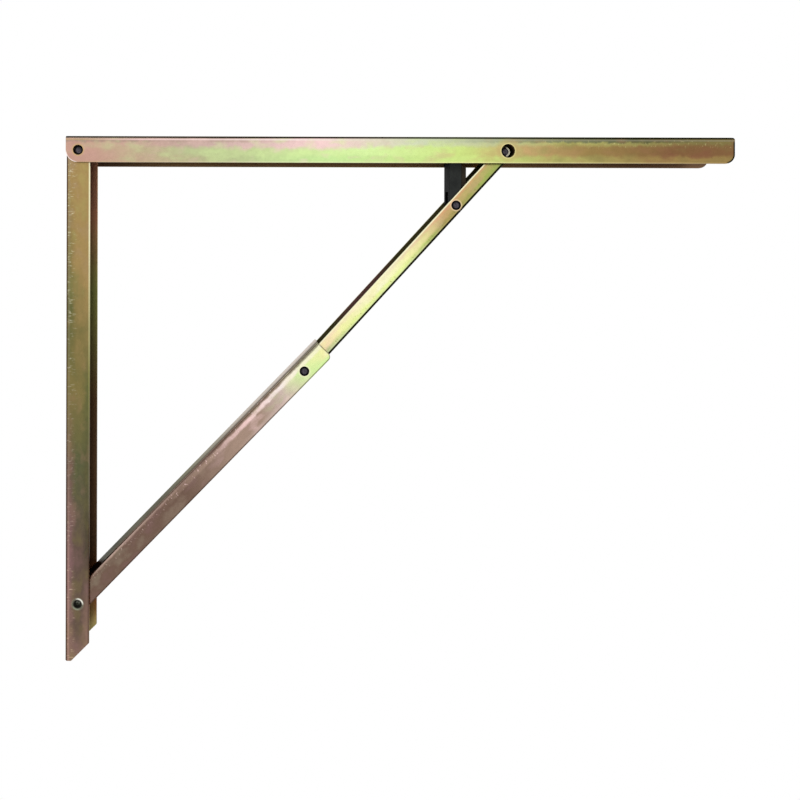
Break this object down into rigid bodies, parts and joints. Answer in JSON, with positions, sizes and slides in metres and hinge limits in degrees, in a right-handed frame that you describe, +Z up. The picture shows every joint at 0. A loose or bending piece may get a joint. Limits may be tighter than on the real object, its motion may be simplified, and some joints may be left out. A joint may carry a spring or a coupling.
{
  "type": "drop leaf table bracket",
  "caption": "Folding bracket of nested steel channels: a wall arm, a leaf arm and a knee brace that locks past centre to hold up a hinged table leaf, with a black release lever.",
  "frame": {"origin": "on the wall plane, midway between the outermost screw holes of the wall arm", "axes": "+X out from the wall along the open leaf arm, +Z up along the wall arm, Y across the channels"},
  "size_m": [0.47, 0.0242, 0.37],
  "materials": {
    "plated_steel": "zinc plated, yellow iridescent passivation",
    "pin_steel": "dark riveted steel",
    "rivet_steel": "plated rivet with drilled ends",
    "black_lever": "black moulded lever, satin",
    "spring_steel": "drawn spring wire"
  },
  "bodies": {
    "wall_arm": {"wall_arm": "plated_steel", "main_hinge_pin": "pin_steel", "wall_pivot_pin": "rivet_steel"},
    "lower_brace": {"lower_brace": "plated_steel", "knee_pin": "pin_steel"},
    "upper_brace": {"upper_brace": "plated_steel", "leaf_pivot_pin": "pin_steel", "lever_pin": "pin_steel", "lever_spring": "spring_steel"},
    "leaf_arm": {"leaf_arm": "plated_steel", "pivot_bracket": "plated_steel", "pivot_bracket_rivets": "pin_steel"},
    "release_lever": {"release_lever": "black_lever"}
  },
  "joints": [
    {"name": "knee_fold", "type": "hinge", "parent": "lower_brace", "child": "upper_brace", "pos_m": [0.16859, 0, 0.02918], "axis": [0, 1, 0], "range_deg": [0, 181.8]},
    {"name": "wall_pivot", "type": "hinge", "parent": "wall_arm", "child": "lower_brace", "pos_m": [0.0089, 0, -0.135], "axis": [0, 1, 0], "range_deg": [-44.21, 0]},
    {"name": "leaf_pivot", "type": "hinge", "parent": "upper_brace", "child": "leaf_arm", "pos_m": [0.3109, 0, 0.185], "axis": [0, 1, 0], "range_deg": [-47.6, 0]},
    {"name": "lever_pivot", "type": "hinge", "parent": "upper_brace", "child": "release_lever", "pos_m": [0.27624, 0, 0.14705], "axis": [0, 1, 0], "range_deg": [-137.6, 0], "deforming": ["lever_spring"]}
  ],
  "couplings": [
    {"joint": "wall_pivot", "follows": "knee_fold", "ratio": -0.24315},
    {"joint": "leaf_pivot", "follows": "knee_fold", "ratio": -0.2618},
    {"joint": "lever_pivot", "follows": "knee_fold", "ratio": -0.75684}
  ]
}
